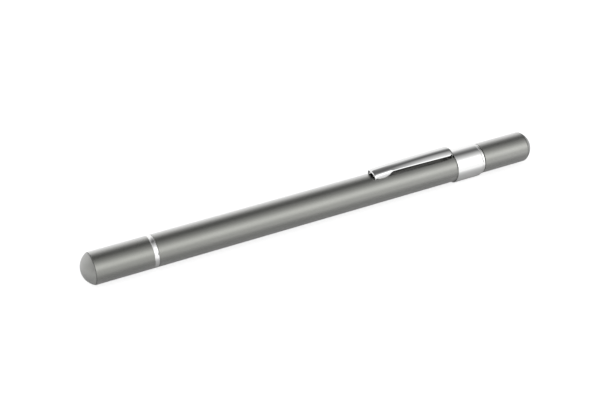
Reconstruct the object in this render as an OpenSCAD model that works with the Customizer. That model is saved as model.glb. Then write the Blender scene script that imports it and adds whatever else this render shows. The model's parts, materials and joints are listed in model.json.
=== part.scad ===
// Slim metal ballpoint pen with a pull-off front cap, a sprung pocket clip and a screw-in tail.
// Lies along X with the front at -X and the clip on top; sizes are in millimetres.

/* [Body] */
// Outside diameter of the barrel and of the front cap
barrel_d = 9; // [8.6:0.1:9.2]
// Length of barrel that shows between the cap ring and the clip collar
barrel_show = 93.2; // [90:0.1:100]
// Wall thickness of the barrel, cap and tail tubes
tube_wall = 0.5; // [0.45:0.05:0.55]
// Height of the rounded plug at each end
dome_h = 2.7; // [2:0.1:3.5]
// Hairline left where two outside pieces meet
seam = 0.12; // [0.08:0.01:0.15]

/* [Front cap] */
// Length of the cap's tube, from the end plug to the ring
cap_len = 16.3; // [16:0.1:18]
// Width of the bright ring at the cap's mouth
ring_w = 1.2; // [1:0.1:1.6]
// Height that the ring stands proud of the barrel
ring_proud = 0.04; // [0:0.01:0.1]
// Open joint between the closed cap and the barrel
cap_gap = 0.2; // [0.15:0.05:0.3]
// Slack of the cap's mouth around the nose
cap_slack = 0.15; // [0.1:0.01:0.2]

/* [Nose] */
// Diameter of the nose inside the cap's mouth
nose_d = 6.6; // [6.4:0.1:6.6]
// Length of the nose in front of the barrel
nose_len = 12.4; // [11.5:0.1:12.6]
// Diameter of the nose at its front opening
nose_tip_d = 3.5; // [3.2:0.1:4]
// Length of the straight part of the nose that the cap grips
nose_grip = 4.9; // [4.5:0.1:5.5]
// Length of the threaded spigot behind the nose
nose_thread = 9.4; // [7:0.1:11]
// Thickness of the rubber ring that holds the cap on
grip_ring_d = 0.55; // [0.5:0.01:0.56]

/* [Refill] */
// Diameter of the refill's tube
refill_d = 3; // [2.8:0.1:3]
// Overall length of the refill
refill_len = 106.8; // [106:0.1:107]
// Diameter of the writing ball
ball_d = 1; // [0.8:0.1:1]
// Distance from the front end of the pen to the writing ball
point_set = 5.2; // [5:0.1:5.4]
// Share of the refill's tube that holds ink
ink_share = 0.82; // [0.2:0.01:0.9]
// Wire thickness of the spring behind the refill
spring_wire = 0.35; // [0.3:0.01:0.4]
// Number of turns of that spring
spring_turns = 5; // [4:1:5]

/* [Collar and tail] */
// Outside diameter of the clip collar
collar_d = 9.8; // [9.6:0.1:10.2]
// Length of the clip collar
collar_len = 8.5; // [8:0.1:10]
// Width of the bead ring behind the collar
bead_w = 1.3; // [1:0.1:1.6]
// Outside diameter of the bead ring
bead_d = 9.2; // [9:0.1:9.4]
// Outside diameter of the tail
tail_d = 8.9; // [8.7:0.1:9]
// Length of the tail's tube
tail_len = 15; // [13:0.1:18]
// Diameter of the tail's screw thread
thread_d = 5; // [4.6:0.1:5]
// Length of thread that holds the tail
thread_len = 4; // [3.5:0.1:4]

/* [Clip] */
// Length of the clip from its tip to the start of its shoulder
clip_len = 24.8; // [22:0.1:30]
// Width of the clip at its shoulder
clip_w = 4.8; // [4.2:0.1:5]
// Thickness of the clip's sheet
clip_t = 0.45; // [0.4:0.01:0.5]
// Height of the clip's top above the barrel at its shoulder
clip_rise = 2.21; // [2.1:0.01:2.3]
// Height of the clip's top above the barrel at its tip
clip_tip_rise = 1.4; // [1.3:0.01:1.5]
// Length of each rounded ear under the clip's tip
ear_len = 5.8; // [5:0.1:6.5]
// Gap between the ears and the barrel
ear_gap = 0.12; // [0.1:0.01:0.2]

/* [Hidden] */
$fn = 96;

gunmetal = [0.52, 0.53, 0.51];
dome_grey = [0.58, 0.59, 0.57];
bright = [0.86, 0.87, 0.88];
brass = [0.78, 0.62, 0.32];
steel = [0.7, 0.71, 0.72];
soft_black = [0.08, 0.08, 0.09];
liner_grey = [0.3, 0.31, 0.32];
ink_blue = [0.05, 0.08, 0.35];

// Radii
barrel_r = barrel_d / 2;
bore_r = barrel_r - tube_wall;
tail_r = tail_d / 2;
tail_bore_r = tail_r - tube_wall;
collar_r = collar_d / 2;
nose_r = nose_d / 2;
refill_r = refill_d / 2;
refill_wall = 0.4; // Wall of the refill's tube
refill_bore_r = refill_r - refill_wall;
ball_r = ball_d / 2;
axis_z = collar_r;
press_slack = 0.02; // Radial slack drawn at a pressed joint
rim_step = 0.05; // Step from a tube down to the rim of its end plug
edge_break = 0.1; // Small bevel on turned edges

// Distances from the front end, in order
cap_tube_at = dome_h + seam;
ring_at = dome_h + cap_len;
mouth_at = ring_at + ring_w;
barrel_at = mouth_at + cap_gap;
collar_at = mouth_at + barrel_show;
bead_at = collar_at + collar_len;
tail_at = bead_at + bead_w;
tail_rim_at = tail_at + tail_len;
length = tail_rim_at + dome_h;

// End plugs
plug_in = 1.7; // Depth of a plug's spigot in its tube
plug_hollow = 0.7; // Depth of solid left behind a plug's rim
plug_wall = 0.8; // Wall of a plug's spigot

// Cap
ring_skirt = 4.5; // Depth of the cap ring's skirt in the tube
ring_bore_r = nose_r + cap_slack;
liner_at = dome_h + plug_in + seam;
liner_to = ring_at - ring_skirt - seam;
liner_throat_r = 2.2; // Radius of the liner around the point
rib_r = 0.28; // Round of each rib on the cap ring

// Nose
bush_set = 0.2; // Depth of the bush's face in the barrel
bush_len = 11.4;
bush_at = barrel_at + bush_set;
bush_to = bush_at + bush_len;
nose_at = bush_at - nose_len;
nose_spigot_r = 2.93; // Radius of the nose's threaded spigot
nose_grip_at = bush_at - nose_grip;
nose_exit_r = 1.2; // Hole that the refill's point passes through
nose_exit_len = 3; // Length of that hole
refill_slack = 0.1; // Slack of the refill in the nose
nose_bore_r = refill_r + refill_slack;
groove_set = 3; // Distance of the rubber ring from the bush's face
groove_at = bush_at - groove_set;
groove_slack = 0.05; // Room on each side of the rubber ring
groove_half = grip_ring_d / 2 + groove_slack;
grip_gap = 0.035; // Gap between the rubber ring and the cap's mouth
groove_r = ring_bore_r - grip_gap - grip_ring_d;

// Refill
ball_at = point_set + ball_r;
ball_slack = 0.02; // Running slack of the ball in its socket
socket_lip = 0.2; // Distance from the ball's middle to the rim of its socket
point_r = 1.15; // Radius of the straight part of the point
point_cone = 2.2; // Length of the cone behind the socket
point_len = 6.5; // Distance from the ball to the refill's tube
point_spigot = 4; // Depth of the point in the tube
socket_wall = 0.1; // Wall round the ball at the socket's rim
ink_hole_r = 0.3; // Radius of the ink channel and of the plug's vent
refill_tube_at = point_set + point_len;
refill_to = point_set + refill_len;
refill_plug_in = 1.6; // Depth of the end plug in the tube
refill_plug_rim = 0.6; // Thickness of the end plug's rim
ink_at = refill_tube_at + point_spigot + seam;
ink_to = ink_at + ink_share * (refill_to - refill_plug_rim - refill_plug_in - ink_at);

// Rear end
rear_bush_in = 10; // Depth of the rear bush in the barrel
barrel_in = 1; // Depth of the barrel's end in the collar
barrel_to = collar_at + barrel_in;
neck_in = 1.2; // Distance from the collar's front back to the start of the bush's neck
neck_at = collar_at - neck_in;
neck_r = 3.3; // Radius of the neck that the collar sits on
neck_set = 0.2; // Depth of the neck's end in the collar
neck_to = bead_at - neck_set;
refill_room_r = 2; // Bore of the rear bush around the refill and spring
thread_at = tail_at - thread_len - bead_w;
web_t = 1; // Wall between the spring and the tail's thread
web_at = thread_at - web_t;
web_hole_r = 0.6; // Vent through that wall
thread_r = thread_d / 2;
thread_slack = 0.05; // Running slack of the tail's thread
collar_bore_r = barrel_r + rim_step;
collar_bevel = 0.2; // Bevel on the collar's outer edges
collar_lip = 0.8; // Thickness of the collar's rear lip
collar_lip_r = neck_r + rim_step;
collar_to = bead_at - seam;
stud_in = 10; // Depth of the stud in the tail
stud_set = 0.3; // Distance from the tail's front edge to the stud's shoulder
stud_at = tail_at + stud_set;
stud_to = tail_at + stud_in;
stud_bore_r = 2.4; // Hollow in the stud's rear
stud_front = 2; // Solid length left in front of that hollow

// Spring behind the refill
spring_mean_r = 1.55; // Radius of the coil at the middle of the wire
spring_sides = 6;
spring_rings = 8; // Rings of points in each turn
spring_gap = 0.03; // Gap at each end of the spring
spring_at = refill_to + spring_wire / 2 + spring_gap;
spring_to = web_at - spring_wire / 2 - spring_gap;
spring_pitch = (spring_to - spring_at) / spring_turns;
spring_steps = spring_turns * spring_rings;
spring_path = [
    for (i = [0 : spring_steps])
        let (turn = 360 * i / spring_rings)
        [spring_mean_r * cos(turn), spring_mean_r * sin(turn), spring_at + spring_pitch * i / spring_rings]
];
spring_least_gap = min([
    for (i = [0 : spring_steps - spring_rings]) norm(spring_path[i + spring_rings] - spring_path[i])
]) - spring_wire;

// Clip path: crest of the outer surface, as distance along the pen and height above its axis
shoulder_r = 1.75; // Outside radius of the bend at the clip's shoulder
shoulder_gap = 0.2; // Gap between the bend and the collar
shoulder_at = collar_at - shoulder_gap - shoulder_r;
foot_r = 0.45; // Radius of the bend under the collar
foot_h = 4.3; // Height of the tongue's top above the pen's axis
tongue_in = 3.8; // Depth of the tongue in the collar
tongue_to = collar_at + tongue_in;
tip_at = shoulder_at - clip_len;
crest_root = barrel_r + clip_rise;
crest_tip = barrel_r + clip_tip_rise;
sag_root = 0.95; // Drop from the crest to the side edge at the shoulder
sag_tip = 0.4; // The same drop at the tip
sag_tongue = 0.35; // The same drop on the tongue
half_w_tip = 1.75; // Half width behind the tip
half_w_bend = 2; // Half width where the bend meets the tongue
half_w_tongue = 1.5; // Half width of the tongue
tip_round = 0.5; // Length over which the corners of the blunt tip are rounded in plan
tip_flat = 0.2; // Length of that rounding cut off by the tip's straight edge
blade_steps = 30;
bend_steps = 8;
station_spread = 1.8; // Crowds the stations towards the tip
across = 15; // Points across the sheet on each face
notch_slack = 0.45; // Room on each side of the tongue in the barrel's notch
notch_half = half_w_tongue + notch_slack;
notch_at = shoulder_at + shoulder_r - clip_t - notch_slack;

// Ears under the clip's tip
ear_face = 2.2; // Distance of each ear's outer face from the middle
ear_t = 0.6;
ear_set = 0.25; // Distance of the ears behind the tip
ear_at = tip_at + ear_set;
ear_rise = 1; // Height of the ears' top above the barrel
ear_top = barrel_r + ear_rise;
ear_peak = 0.42; // Share of an ear's length in front of its lowest point
ear_trim = 0.04; // Depth cut off the ears' lowest edge by the curve that follows the barrel
ear_low = sqrt(pow(barrel_r + ear_gap, 2) - pow(ear_face, 2)) - ear_trim;
ear_drop = ear_top - ear_low;
ear_front = ear_peak * ear_len;
ear_back = ear_len - ear_front;
ear_r = (pow(ear_back, 2) + pow(ear_drop, 2)) / (2 * ear_drop);

// Eases from 0 at the clip's tip to 1 at its shoulder
function ease(along) = 1 - pow(1 - along, 2);

// Half width of the clip, with rounded corners at its tip
function half_w(along) =
    let (full = half_w_tip + (clip_w / 2 - half_w_tip) * along)
    let (round = min(1, (along * clip_len + tip_flat) / tip_round))
    full * sqrt(1 - pow(1 - round, 2));

// A station holds: distance, height, outward direction as an angle from +Z, half width, drop at the edge
blade_stations = [
    for (i = [0 : blade_steps])
        let (along = pow(i / blade_steps, station_spread))
        let (rise = ease(along))
        [
            tip_at + along * clip_len,
            crest_tip + (crest_root - crest_tip) * rise,
            0, half_w(along), sag_tip + (sag_root - sag_tip) * rise
        ]
];
shoulder_stations = [
    for (i = [1 : bend_steps])
        let (turn = 90 * i / bend_steps)
        let (share = i / bend_steps)
        [
            shoulder_at + shoulder_r * sin(turn),
            crest_root - shoulder_r + shoulder_r * cos(turn),
            turn,
            clip_w / 2 + (half_w_bend - clip_w / 2) * share,
            sag_root + (sag_tongue - sag_root) * share
        ]
];
foot_stations = [
    for (i = [0 : bend_steps])
        let (turn = 90 * i / bend_steps)
        let (share = i / bend_steps)
        [
            shoulder_at + shoulder_r + foot_r * (1 - cos(turn)),
            foot_h + foot_r * (1 - sin(turn)),
            90 - turn,
            half_w_bend + (half_w_tongue - half_w_bend) * share,
            sag_tongue
        ]
];
tongue_station = [tongue_to, foot_h, 0, half_w_tongue, sag_tongue];
clip_stations = concat(blade_stations, shoulder_stations, foot_stations, [tongue_station]);

// One point of a station: side runs from -1 to 1 across the sheet, depth is measured from the crest
function station_point(s, side, depth) =
    let (drop = s[4] * side * side + depth)
    [s[0] - drop * sin(s[2]), s[3] * side, s[1] - drop * cos(s[2])];

// Closed loop of points round the sheet at a station
function station_loop(s) = concat(
    [for (j = [0 : across - 1]) station_point(s, 2 * j / (across - 1) - 1, 0)],
    [for (j = [0 : across - 1]) station_point(s, 1 - 2 * j / (across - 1), clip_t)]
);

// Triangles that join loops of count points into a closed skin, without its ends
function skin_faces(loops, count) = [
    for (i = [0 : loops - 2], j = [0 : count - 1])
        let (a = i * count + j, b = i * count + (j + 1) % count)
        each [[a, b, a + count], [b, b + count, a + count]]
];

// Triangles that close a loop made of two facing rows
function end_faces(first, row, flip) = [
    for (j = [0 : row - 2])
        let (a = first + j, b = first + j + 1)
        let (c = first + 2 * row - 2 - j, d = first + 2 * row - 1 - j)
        each flip ? [[a, c, b], [a, d, c]] : [[a, b, c], [a, c, d]]
];

// Places what is drawn upwards from the pen's front end along its axis
module along_pen() {
    translate([-length / 2, 0, axis_z]) rotate([0, 90, 0]) children();
}

// Turns a profile drawn as radius against distance from the front end
module turned() {
    along_pen() rotate_extrude() children();
}

// Ring-shaped profile with bevelled outer edges
module tube_profile(from, to, outer_r, inner_r, bevel = edge_break) {
    polygon([
        [inner_r, from], [outer_r - bevel, from], [outer_r, from + bevel],
        [outer_r, to - bevel], [outer_r - bevel, to], [inner_r, to]
    ]);
}

// Rounded plug: its outside is part of a sphere, its spigot fits a tube of inside radius fit_r
module end_plug(rim_r, fit_r) {
    globe_r = (rim_r * rim_r + dome_h * dome_h) / (2 * dome_h);
    difference() {
        union() {
            intersection() {
                translate([0, 0, globe_r]) sphere(r = globe_r);
                cylinder(r = rim_r, h = dome_h);
            }
            translate([0, 0, dome_h - seam]) cylinder(r = fit_r - press_slack, h = plug_in + seam);
        }
        translate([0, 0, dome_h + plug_hollow]) cylinder(r = fit_r - plug_wall, h = plug_in);
    }
}

module cap_dome() {
    color(dome_grey) along_pen() end_plug(barrel_r - rim_step, bore_r);
}

module cap_sleeve() {
    color(gunmetal) turned() tube_profile(cap_tube_at, ring_at, barrel_r, bore_r, seam);
}

module cap_ring() {
    rib_mid = barrel_r + ring_proud - rib_r;
    color(bright) turned() {
        translate([ring_bore_r, ring_at - ring_skirt])
            square([bore_r - press_slack - ring_bore_r, ring_skirt + ring_w]);
        translate([ring_bore_r, ring_at]) square([rib_mid - ring_bore_r, ring_w]);
        translate([rib_mid, ring_at + rib_r]) circle(r = rib_r);
        translate([rib_mid, mouth_at - rib_r]) circle(r = rib_r);
    }
}

module cap_liner() {
    color(liner_grey) turned() polygon([
        [liner_throat_r, liner_at], [bore_r - press_slack, liner_at],
        [bore_r - press_slack, liner_to], [ring_bore_r, liner_to],
        [liner_throat_r, nose_at]
    ]);
}

module barrel_tube() {
    color(gunmetal) difference() {
        turned() tube_profile(barrel_at, barrel_to, barrel_r, bore_r);
        translate([notch_at - length / 2, -notch_half, axis_z])
            cube([barrel_to - notch_at + barrel_in, 2 * notch_half, collar_r]);
    }
}

module front_bush() {
    color(brass) turned() tube_profile(bush_at, bush_to, bore_r - press_slack, nose_spigot_r + press_slack);
}

module nose_section() {
    color(steel) turned() difference() {
        polygon([
            [nose_exit_r, nose_at], [nose_tip_d / 2 - edge_break, nose_at],
            [nose_tip_d / 2, nose_at + edge_break], [nose_r, nose_grip_at],
            [nose_r, bush_at], [nose_spigot_r, bush_at],
            [nose_spigot_r, bush_at + nose_thread], [nose_bore_r, bush_at + nose_thread],
            [nose_bore_r, nose_at + nose_exit_len], [nose_exit_r, nose_at + nose_exit_len]
        ]);
        translate([groove_r, groove_at - groove_half]) square([nose_r, 2 * groove_half]);
    }
}

module nose_grip_ring() {
    color(soft_black) turned()
        translate([groove_r + grip_ring_d / 2, groove_at]) circle(d = grip_ring_d);
}

module refill_point() {
    color(brass) along_pen() difference() {
        rotate_extrude() polygon([
            [0, ball_at - socket_lip], [ball_r + socket_wall, ball_at - socket_lip],
            [point_r, ball_at + point_cone], [point_r, refill_tube_at],
            [refill_bore_r - press_slack, refill_tube_at],
            [refill_bore_r - press_slack, refill_tube_at + point_spigot],
            [0, refill_tube_at + point_spigot]
        ]);
        translate([0, 0, ball_at]) sphere(r = ball_r + ball_slack);
        translate([0, 0, ball_at]) cylinder(r = ink_hole_r, h = point_len + point_spigot);
    }
}

module point_ball() {
    color(steel) along_pen() translate([0, 0, ball_at]) sphere(d = ball_d);
}

module refill_tube() {
    color(steel) turned()
        tube_profile(refill_tube_at, refill_to - refill_plug_rim, refill_r, refill_bore_r, rim_step);
}

module ink_column() {
    color(ink_blue) along_pen() translate([0, 0, ink_at])
        cylinder(r = refill_bore_r - press_slack, h = ink_to - ink_at);
}

module refill_plug() {
    color(soft_black) along_pen() difference() {
        union() {
            translate([0, 0, refill_to - refill_plug_rim]) cylinder(r = refill_r, h = refill_plug_rim);
            translate([0, 0, refill_to - refill_plug_rim - refill_plug_in])
                cylinder(r = refill_bore_r - press_slack, h = refill_plug_in + press_slack);
        }
        translate([0, 0, ink_to]) cylinder(r = ink_hole_r, h = refill_len);
    }
}

// Wire swept along the coil: each ring of points stands across the wire
module refill_spring() {
    slope = atan2(spring_pitch, 2 * PI * spring_mean_r);
    points = [
        for (i = [0 : spring_steps], j = [0 : spring_sides - 1])
            let (turn = 360 * i / spring_rings, round = -360 * j / spring_sides)
            let (out = spring_wire / 2 * cos(round), up = spring_wire / 2 * sin(round))
            spring_path[i]
                + out * [cos(turn), sin(turn), 0]
                + up * [sin(turn) * sin(slope), -cos(turn) * sin(slope), cos(slope)]
    ];
    last = spring_steps * spring_sides;
    start_face = [for (j = [1 : spring_sides - 2]) [0, j + 1, j]];
    stop_face = [for (j = [1 : spring_sides - 2]) [last, last + j, last + j + 1]];
    color(steel) along_pen() polyhedron(
        points, concat(skin_faces(spring_steps + 1, spring_sides), start_face, stop_face)
    );
    echo(spring_least_gap = spring_least_gap);
}

module rear_bush() {
    color(brass) along_pen() difference() {
        union() {
            translate([0, 0, neck_at - rear_bush_in]) cylinder(r = bore_r - press_slack, h = rear_bush_in);
            translate([0, 0, neck_at]) cylinder(r = neck_r, h = neck_to - neck_at);
        }
        translate([0, 0, neck_at - rear_bush_in - web_t])
            cylinder(r = refill_room_r, h = web_at - neck_at + rear_bush_in + web_t);
        translate([0, 0, web_at - web_t]) cylinder(r = web_hole_r, h = thread_len);
        translate([0, 0, thread_at - seam]) cylinder(r = thread_r + thread_slack, h = thread_len + bead_w);
    }
}

module clip_collar() {
    color(bright) turned() {
        tube_profile(collar_at, collar_to, collar_r, collar_bore_r, collar_bevel);
        translate([collar_lip_r, collar_to - collar_lip]) square([collar_bore_r + collar_bevel - collar_lip_r, collar_lip]);
    }
}

// One ear: a slice of a disc that hangs from the sheet's side edge and follows the barrel below
module ear(middle) {
    difference() {
        translate([ear_at + ear_front - length / 2, middle + ear_t / 2, axis_z]) rotate([90, 0, 0])
            linear_extrude(ear_t) intersection() {
                translate([0, ear_low + ear_r]) circle(r = ear_r);
                translate([-ear_front, 0]) square([ear_len, ear_top]);
            }
        along_pen() translate([0, 0, tip_at]) cylinder(r = barrel_r + ear_gap, h = clip_len);
    }
}

module clip() {
    loops = len(clip_stations);
    loop_points = 2 * across;
    color(bright) {
        translate([-length / 2, 0, axis_z]) polyhedron(
            [for (s = clip_stations) each station_loop(s)],
            concat(
                skin_faces(loops, loop_points),
                end_faces(0, across, true),
                end_faces((loops - 1) * loop_points, across, false)
            )
        );
        ear(ear_t / 2 - ear_face);
        ear(ear_face - ear_t / 2);
    }
}

module rear_ring() {
    bead_from = bead_at;
    bead_to = tail_at - seam;
    bead_half = (bead_to - bead_from) / 2;
    inner_r = thread_r + 2 * thread_slack;
    color(bright) turned() {
        translate([inner_r, bead_from]) square([bead_d / 2 - bead_half - inner_r, 2 * bead_half]);
        translate([bead_d / 2 - bead_half, bead_from + bead_half]) circle(r = bead_half);
    }
}

module tail_sleeve() {
    color(gunmetal) turned() tube_profile(tail_at, tail_rim_at - seam, tail_r, tail_bore_r);
}

module tail_dome() {
    color(gunmetal) along_pen()
        translate([0, 0, length]) rotate([180, 0, 0]) end_plug(tail_r - rim_step, tail_bore_r);
}

module tail_stud() {
    color(brass) along_pen() difference() {
        union() {
            translate([0, 0, thread_at]) cylinder(r = thread_r, h = stud_at + stud_front - thread_at);
            translate([0, 0, stud_at]) cylinder(r = tail_bore_r - press_slack, h = stud_to - stud_at);
        }
        translate([0, 0, stud_at + stud_front]) cylinder(r = stud_bore_r, h = stud_in);
    }
}

cap_dome();
cap_sleeve();
cap_ring();
cap_liner();
barrel_tube();
front_bush();
nose_section();
nose_grip_ring();
refill_point();
point_ball();
refill_tube();
ink_column();
refill_plug();
refill_spring();
rear_bush();
clip_collar();
clip();
rear_ring();
tail_sleeve();
tail_dome();
tail_stud();
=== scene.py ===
import json
import math

import bmesh
import bpy
from mathutils import Matrix, Vector


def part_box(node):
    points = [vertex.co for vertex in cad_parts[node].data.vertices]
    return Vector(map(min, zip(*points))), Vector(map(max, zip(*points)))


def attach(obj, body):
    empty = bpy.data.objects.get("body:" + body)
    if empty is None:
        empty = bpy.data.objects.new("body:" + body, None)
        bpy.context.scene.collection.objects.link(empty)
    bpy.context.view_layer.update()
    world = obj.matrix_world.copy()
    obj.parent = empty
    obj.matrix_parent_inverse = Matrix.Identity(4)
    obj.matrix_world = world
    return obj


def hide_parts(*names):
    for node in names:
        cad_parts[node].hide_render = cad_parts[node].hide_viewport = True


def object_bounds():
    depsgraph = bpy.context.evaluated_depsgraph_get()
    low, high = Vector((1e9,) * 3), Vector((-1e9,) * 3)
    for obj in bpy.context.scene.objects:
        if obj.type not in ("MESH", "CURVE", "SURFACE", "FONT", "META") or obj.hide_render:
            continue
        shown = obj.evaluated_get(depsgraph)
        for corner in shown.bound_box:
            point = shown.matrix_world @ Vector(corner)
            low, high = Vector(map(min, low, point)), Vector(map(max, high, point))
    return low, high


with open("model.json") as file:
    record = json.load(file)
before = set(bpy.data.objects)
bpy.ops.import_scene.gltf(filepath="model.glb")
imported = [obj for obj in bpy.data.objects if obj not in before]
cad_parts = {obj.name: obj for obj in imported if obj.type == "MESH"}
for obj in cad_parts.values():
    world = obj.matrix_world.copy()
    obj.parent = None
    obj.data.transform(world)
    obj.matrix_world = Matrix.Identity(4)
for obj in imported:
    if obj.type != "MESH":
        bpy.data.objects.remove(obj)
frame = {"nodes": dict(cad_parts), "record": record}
cadLow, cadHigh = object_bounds()
scene = bpy.context.scene
scene.view_settings.view_transform = "Standard"
nodes = frame["nodes"]
mm = 0.001
perMetre = 1000.0  # millimetres in a metre
penFront = cadLow.x / mm  # front end of the pen, in millimetres
penAxis = (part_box("barrel_tube")[0].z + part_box("barrel_tube")[1].z) / 2 / mm
print("frame loaded,", len(nodes), "nodes, axis at", round(penAxis, 3), "mm")


def span(node):
    low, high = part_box(node)
    front = low.x / mm - penFront  # measured back from the pen's front end
    back = high.x / mm - penFront
    return front, back, (high.y - low.y) / 2 / mm


def between(low, high, share):
    return low + (high - low) * share


def smoothStep(low, high, value):
    share = min(1.0, max(0.0, (value - low) / (high - low)))
    return share * share * (3 - 2 * share)


def addObject(name, data):
    made = bpy.data.objects.new(name, data)
    scene.collection.objects.link(made)
    return made


# small helpers for node trees

def addNode(tree, kind, place, **settings):
    node = tree.nodes.new(kind)
    node.location = place
    for name, value in settings.items():
        setattr(node, name, value)
    return node


def join(tree, fromSocket, toSocket):
    tree.links.new(fromSocket, toSocket)


def feed(tree, socket, value):
    # another socket is joined, a plain value is set
    if isinstance(value, bpy.types.NodeSocket):
        join(tree, value, socket)
    else:
        socket.default_value = value


def addMath(tree, place, operation, *values, clamp=False):
    node = addNode(tree, "ShaderNodeMath", place, operation=operation, use_clamp=clamp)
    for socket, value in zip(node.inputs, values):
        feed(tree, socket, value)
    return node.outputs[0]


def addVectorMath(tree, place, operation, first, second):
    node = addNode(tree, "ShaderNodeVectorMath", place, operation=operation)
    feed(tree, node.inputs[0], first)
    feed(tree, node.inputs[1], second)
    return node


def addMix(tree, place, factor, first, second):
    node = addNode(tree, "ShaderNodeMix", place, data_type="RGBA")
    for name, value in (("Factor", factor), ("A", first), ("B", second)):
        feed(tree, node.inputs[name], value)
    return node.outputs["Result"]


def addRange(tree, place, value, fromMin, fromMax, toMin=0.0, toMax=1.0, kind="LINEAR"):
    node = addNode(tree, "ShaderNodeMapRange", place, interpolation_type=kind)
    given = {"Value": value, "From Min": fromMin, "From Max": fromMax, "To Min": toMin, "To Max": toMax}
    for name, entry in given.items():
        feed(tree, node.inputs[name], entry)
    return node.outputs["Result"]


def addNoise(tree, place, coordinate, scale, **settings):
    node = addNode(tree, "ShaderNodeTexNoise", place, noise_dimensions="3D")
    feed(tree, node.inputs["Vector"], coordinate)
    feed(tree, node.inputs["Scale"], scale)
    for name, value in settings.items():
        node.inputs[name].default_value = value
    return node.outputs["Fac"]


def solid(color):
    return (*color, 1.0)


def grey(level):
    return (level, level, level, 1.0)


# shader groups shared by the finishes

def groupTree(name, inputs, outputs):
    tree = bpy.data.node_groups.new(name, "ShaderNodeTree")
    for label, kind in inputs:
        tree.interface.new_socket(label, in_out="INPUT", socket_type="NodeSocket" + kind)
    for label, kind in outputs:
        tree.interface.new_socket(label, in_out="OUTPUT", socket_type="NodeSocket" + kind)
    start = addNode(tree, "NodeGroupInput", (-900, 0))
    stop = addNode(tree, "NodeGroupOutput", (700, 0))
    return tree, start.outputs, stop.inputs


# fine grain, and turning lines that run round the pen
patterns = {
    "grain": {"group": "fineGrain", "stretch": (1.0, 1.0, 1.0), "detail": 3.0, "roughness": 0.6},
    "lines": {"group": "turningLines", "stretch": (1.0, 0.02, 0.02), "detail": 4.0, "roughness": 0.65},
}
noiseLow = 0.3  # most of a noise lies between these two
noiseHigh = 0.7
noiseMiddle = 0.5


def makePattern(look):
    tree, start, stop = groupTree(
        look["group"],
        [("Coordinate", "Vector"), ("Marks per mm", "Float"), ("Low", "Float"), ("High", "Float")],
        [("Height", "Float"), ("Value", "Float")])
    scale = addMath(tree, (-700, -120), "MULTIPLY", start["Marks per mm"], perMetre)
    stretched = addVectorMath(tree, (-700, 80), "MULTIPLY", start["Coordinate"], look["stretch"])
    noise = addNoise(tree, (-450, 0), stretched.outputs[0], scale,
                     Detail=look["detail"], Roughness=look["roughness"])
    spread = addRange(tree, (100, -150), noise, noiseLow, noiseHigh, start["Low"], start["High"])
    join(tree, noise, stop["Height"])
    join(tree, spread, stop["Value"])
    return tree


marksLook = {"perMm": 0.12, "detail": 5.0, "distortion": 0.4}


def makeHandMarks():
    tree, start, stop = groupTree(
        "handMarks",
        [("Coordinate", "Vector"), ("Marks per mm", "Float"), ("Color", "Color"), ("Other", "Color"),
         ("Rough", "Float"), ("Change", "Float")],
        [("Color", "Color"), ("Rough", "Float")])
    scale = addMath(tree, (-700, -120), "MULTIPLY", start["Marks per mm"], perMetre)
    noise = addNoise(tree, (-450, 0), start["Coordinate"], scale,
                     Detail=marksLook["detail"], Distortion=marksLook["distortion"])
    tint = addMix(tree, (100, 150), noise, start["Color"], start["Other"])
    part = addMath(tree, (-150, -200), "SUBTRACT", noise, noiseMiddle)
    rough = addMath(tree, (100, -200), "MULTIPLY_ADD", part, start["Change"], start["Rough"])
    join(tree, tint, stop["Color"])
    join(tree, rough, stop["Rough"])
    return tree


wearLook = {"perMm": 1.8, "detail": 4.0, "patchLow": 0.4, "patchHigh": 0.62}


def makeEdgeWear():
    tree, start, stop = groupTree(
        "edgeWear",
        [("Coordinate", "Vector"), ("Edge", "Float"), ("Base", "Color"), ("Bare", "Color"),
         ("Amount", "Float")],
        [("Color", "Color")])
    noise = addNoise(tree, (-450, 0), start["Coordinate"], wearLook["perMm"] * perMetre,
                     Detail=wearLook["detail"])
    patch = addRange(tree, (-200, 0), noise, wearLook["patchLow"], wearLook["patchHigh"])
    onEdge = addMath(tree, (0, 0), "MULTIPLY", patch, start["Edge"])
    worn = addMath(tree, (170, 0), "MULTIPLY", onEdge, start["Amount"])
    tint = addMix(tree, (400, 0), worn, start["Base"], start["Bare"])
    join(tree, tint, stop["Color"])
    return tree


patternGroups = {name: makePattern(look) for name, look in patterns.items()}
handMarks = makeHandMarks()
edgeWear = makeEdgeWear()
print("shader groups made")


def placeGroup(tree, group, place, **values):
    # values are named as the group's inputs, with _ for a space
    node = addNode(tree, "ShaderNodeGroup", place)
    node.node_tree = group
    for name, value in values.items():
        feed(tree, node.inputs[name.replace("_", " ")], value)
    return node


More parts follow.
